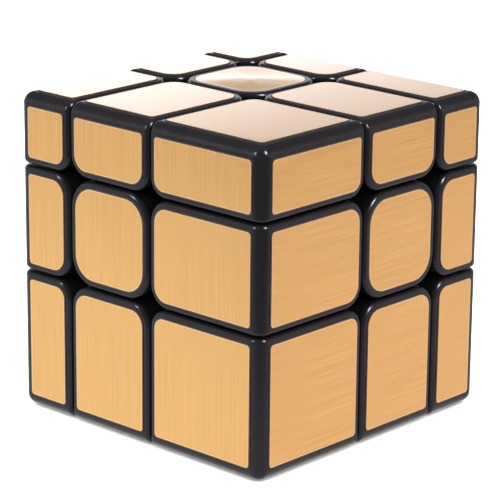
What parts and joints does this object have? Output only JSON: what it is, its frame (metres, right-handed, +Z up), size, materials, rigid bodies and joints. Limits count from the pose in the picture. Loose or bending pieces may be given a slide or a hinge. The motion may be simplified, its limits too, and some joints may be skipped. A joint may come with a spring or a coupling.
{
  "type": "mirror block cube",
  "caption": "Three-layer twisting cube puzzle with layers of unequal thickness: glossy black blocks faced with brushed gold foil, on a sprung inner core.",
  "frame": {"origin": "middle of the underside, on the foils that the cube rests on", "axes": "+X towards the thick right layer, +Y towards the thin back layer, +Z up towards the thin top layer"},
  "size_m": [0.057, 0.057, 0.057],
  "materials": {
    "block_plastic": "glossy moulded black plastic",
    "gold_foil": "brushed gold metallised film, fine straight grain",
    "core_plastic": "moulded black nylon",
    "screw_steel": "zinc plated",
    "washer_steel": "stamped and tumbled",
    "spring_steel": "drawn spring wire"
  },
  "bodies": {
    "core": {"core": "core_plastic", "core_screws": "screw_steel", "spring_washers": "washer_steel", "tension_springs": "spring_steel"},
    "left_centre": {"left_centre": "block_plastic", "left_foil": "gold_foil"},
    "front_centre": {"front_centre": "block_plastic", "front_foil": "gold_foil"},
    "bottom_centre": {"bottom_centre": "block_plastic", "bottom_foil": "gold_foil"},
    "top_centre": {"top_centre": "block_plastic", "top_foil": "gold_foil"},
    "back_centre": {"back_centre": "block_plastic", "back_foil": "gold_foil"},
    "right_centre": {"right_centre": "block_plastic", "right_foil": "gold_foil"},
    "front_left_edge": {"front_left_edge": "block_plastic", "front_left_foils": "gold_foil"},
    "bottom_left_edge": {"bottom_left_edge": "block_plastic", "bottom_left_foils": "gold_foil"},
    "top_left_edge": {"top_left_edge": "block_plastic", "top_left_foils": "gold_foil"},
    "back_left_edge": {"back_left_edge": "block_plastic", "back_left_foils": "gold_foil"},
    "bottom_front_edge": {"bottom_front_edge": "block_plastic", "bottom_front_foils": "gold_foil"},
    "top_front_edge": {"top_front_edge": "block_plastic", "top_front_foils": "gold_foil"},
    "bottom_back_edge": {"bottom_back_edge": "block_plastic", "bottom_back_foils": "gold_foil"},
    "top_back_edge": {"top_back_edge": "block_plastic", "top_back_foils": "gold_foil"},
    "front_right_edge": {"front_right_edge": "block_plastic", "front_right_foils": "gold_foil"},
    "bottom_right_edge": {"bottom_right_edge": "block_plastic", "bottom_right_foils": "gold_foil"},
    "top_right_edge": {"top_right_edge": "block_plastic", "top_right_foils": "gold_foil"},
    "back_right_edge": {"back_right_edge": "block_plastic", "back_right_foils": "gold_foil"},
    "bottom_front_left_corner": {"bottom_front_left_corner": "block_plastic", "bottom_front_left_foils": "gold_foil"},
    "top_front_left_corner": {"top_front_left_corner": "block_plastic", "top_front_left_foils": "gold_foil"},
    "bottom_back_left_corner": {"bottom_back_left_corner": "block_plastic", "bottom_back_left_foils": "gold_foil"},
    "top_back_left_corner": {"top_back_left_corner": "block_plastic", "top_back_left_foils": "gold_foil"},
    "bottom_front_right_corner": {"bottom_front_right_corner": "block_plastic", "bottom_front_right_foils": "gold_foil"},
    "top_front_right_corner": {"top_front_right_corner": "block_plastic", "top_front_right_foils": "gold_foil"},
    "bottom_back_right_corner": {"bottom_back_right_corner": "block_plastic", "bottom_back_right_foils": "gold_foil"},
    "top_back_right_corner": {"top_back_right_corner": "block_plastic", "top_back_right_foils": "gold_foil"}
  },
  "joints": [
    {"name": "left_turn", "type": "hinge", "parent": "core", "child": "left_centre", "pos_m": [-0.0065, 0.0064, 0.0346], "axis": [-1, 0, 0], "range_deg": [-180, 180]},
    {"name": "front_turn", "type": "hinge", "parent": "core", "child": "front_centre", "pos_m": [-0.0065, 0.0064, 0.0346], "axis": [0, -1, 0], "range_deg": [-180, 180]},
    {"name": "bottom_turn", "type": "hinge", "parent": "core", "child": "bottom_centre", "pos_m": [-0.0065, 0.0064, 0.0346], "axis": [0, 0, -1], "range_deg": [-180, 180]},
    {"name": "top_turn", "type": "hinge", "parent": "core", "child": "top_centre", "pos_m": [-0.0065, 0.0064, 0.0346], "axis": [0, 0, 1], "range_deg": [-180, 180]},
    {"name": "back_turn", "type": "hinge", "parent": "core", "child": "back_centre", "pos_m": [-0.0065, 0.0064, 0.0346], "axis": [0, 1, 0], "range_deg": [-180, 180]},
    {"name": "right_turn", "type": "hinge", "parent": "core", "child": "right_centre", "pos_m": [-0.0065, 0.0064, 0.0346], "axis": [1, 0, 0], "range_deg": [-180, 180]},
    {"name": "front_left_edge_turn", "type": "hinge", "parent": "front_centre", "child": "front_left_edge", "pos_m": [-0.0065, 0.0064, 0.0346], "axis": [-1, 0, 0], "range_deg": [-180, 180]},
    {"name": "bottom_left_edge_turn", "type": "hinge", "parent": "bottom_centre", "child": "bottom_left_edge", "pos_m": [-0.0065, 0.0064, 0.0346], "axis": [-1, 0, 0], "range_deg": [-180, 180]},
    {"name": "top_left_edge_turn", "type": "hinge", "parent": "top_centre", "child": "top_left_edge", "pos_m": [-0.0065, 0.0064, 0.0346], "axis": [-1, 0, 0], "range_deg": [-180, 180]},
    {"name": "back_left_edge_turn", "type": "hinge", "parent": "back_centre", "child": "back_left_edge", "pos_m": [-0.0065, 0.0064, 0.0346], "axis": [-1, 0, 0], "range_deg": [-180, 180]},
    {"name": "bottom_front_edge_turn", "type": "hinge", "parent": "bottom_centre", "child": "bottom_front_edge", "pos_m": [-0.0065, 0.0064, 0.0346], "axis": [0, -1, 0], "range_deg": [-180, 180]},
    {"name": "top_front_edge_turn", "type": "hinge", "parent": "top_centre", "child": "top_front_edge", "pos_m": [-0.0065, 0.0064, 0.0346], "axis": [0, -1, 0], "range_deg": [-180, 180]},
    {"name": "bottom_back_edge_turn", "type": "hinge", "parent": "bottom_centre", "child": "bottom_back_edge", "pos_m": [-0.0065, 0.0064, 0.0346], "axis": [0, 1, 0], "range_deg": [-180, 180]},
    {"name": "top_back_edge_turn", "type": "hinge", "parent": "top_centre", "child": "top_back_edge", "pos_m": [-0.0065, 0.0064, 0.0346], "axis": [0, 1, 0], "range_deg": [-180, 180]},
    {"name": "front_right_edge_turn", "type": "hinge", "parent": "front_centre", "child": "front_right_edge", "pos_m": [-0.0065, 0.0064, 0.0346], "axis": [1, 0, 0], "range_deg": [-180, 180]},
    {"name": "bottom_right_edge_turn", "type": "hinge", "parent": "bottom_centre", "child": "bottom_right_edge", "pos_m": [-0.0065, 0.0064, 0.0346], "axis": [1, 0, 0], "range_deg": [-180, 180]},
    {"name": "top_right_edge_turn", "type": "hinge", "parent": "top_centre", "child": "top_right_edge", "pos_m": [-0.0065, 0.0064, 0.0346], "axis": [1, 0, 0], "range_deg": [-180, 180]},
    {"name": "back_right_edge_turn", "type": "hinge", "parent": "back_centre", "child": "back_right_edge", "pos_m": [-0.0065, 0.0064, 0.0346], "axis": [1, 0, 0], "range_deg": [-180, 180]},
    {"name": "bottom_front_left_corner_turn", "type": "hinge", "parent": "bottom_front_edge", "child": "bottom_front_left_corner", "pos_m": [-0.0065, 0.0064, 0.0346], "axis": [-1, 0, 0], "range_deg": [-180, 180]},
    {"name": "top_front_left_corner_turn", "type": "hinge", "parent": "top_front_edge", "child": "top_front_left_corner", "pos_m": [-0.0065, 0.0064, 0.0346], "axis": [-1, 0, 0], "range_deg": [-180, 180]},
    {"name": "bottom_back_left_corner_turn", "type": "hinge", "parent": "bottom_back_edge", "child": "bottom_back_left_corner", "pos_m": [-0.0065, 0.0064, 0.0346], "axis": [-1, 0, 0], "range_deg": [-180, 180]},
    {"name": "top_back_left_corner_turn", "type": "hinge", "parent": "top_back_edge", "child": "top_back_left_corner", "pos_m": [-0.0065, 0.0064, 0.0346], "axis": [-1, 0, 0], "range_deg": [-180, 180]},
    {"name": "bottom_front_right_corner_turn", "type": "hinge", "parent": "bottom_front_edge", "child": "bottom_front_right_corner", "pos_m": [-0.0065, 0.0064, 0.0346], "axis": [1, 0, 0], "range_deg": [-180, 180]},
    {"name": "top_front_right_corner_turn", "type": "hinge", "parent": "top_front_edge", "child": "top_front_right_corner", "pos_m": [-0.0065, 0.0064, 0.0346], "axis": [1, 0, 0], "range_deg": [-180, 180]},
    {"name": "bottom_back_right_corner_turn", "type": "hinge", "parent": "bottom_back_edge", "child": "bottom_back_right_corner", "pos_m": [-0.0065, 0.0064, 0.0346], "axis": [1, 0, 0], "range_deg": [-180, 180]},
    {"name": "top_back_right_corner_turn", "type": "hinge", "parent": "top_back_edge", "child": "top_back_right_corner", "pos_m": [-0.0065, 0.0064, 0.0346], "axis": [1, 0, 0], "range_deg": [-180, 180]}
  ],
  "couplings": [
    {"joint": "front_left_edge_turn", "follows": "left_turn", "ratio": 1},
    {"joint": "bottom_left_edge_turn", "follows": "left_turn", "ratio": 1},
    {"joint": "top_left_edge_turn", "follows": "left_turn", "ratio": 1},
    {"joint": "back_left_edge_turn", "follows": "left_turn", "ratio": 1},
    {"joint": "bottom_front_edge_turn", "follows": "front_turn", "ratio": 1},
    {"joint": "top_front_edge_turn", "follows": "front_turn", "ratio": 1},
    {"joint": "bottom_back_edge_turn", "follows": "back_turn", "ratio": 1},
    {"joint": "top_back_edge_turn", "follows": "back_turn", "ratio": 1},
    {"joint": "front_right_edge_turn", "follows": "right_turn", "ratio": 1},
    {"joint": "bottom_right_edge_turn", "follows": "right_turn", "ratio": 1},
    {"joint": "top_right_edge_turn", "follows": "right_turn", "ratio": 1},
    {"joint": "back_right_edge_turn", "follows": "right_turn", "ratio": 1},
    {"joint": "bottom_front_left_corner_turn", "follows": "left_turn", "ratio": 1},
    {"joint": "top_front_left_corner_turn", "follows": "left_turn", "ratio": 1},
    {"joint": "bottom_back_left_corner_turn", "follows": "left_turn", "ratio": 1},
    {"joint": "top_back_left_corner_turn", "follows": "left_turn", "ratio": 1},
    {"joint": "bottom_front_right_corner_turn", "follows": "right_turn", "ratio": 1},
    {"joint": "top_front_right_corner_turn", "follows": "right_turn", "ratio": 1},
    {"joint": "bottom_back_right_corner_turn", "follows": "right_turn", "ratio": 1},
    {"joint": "top_back_right_corner_turn", "follows": "right_turn", "ratio": 1}
  ]
}
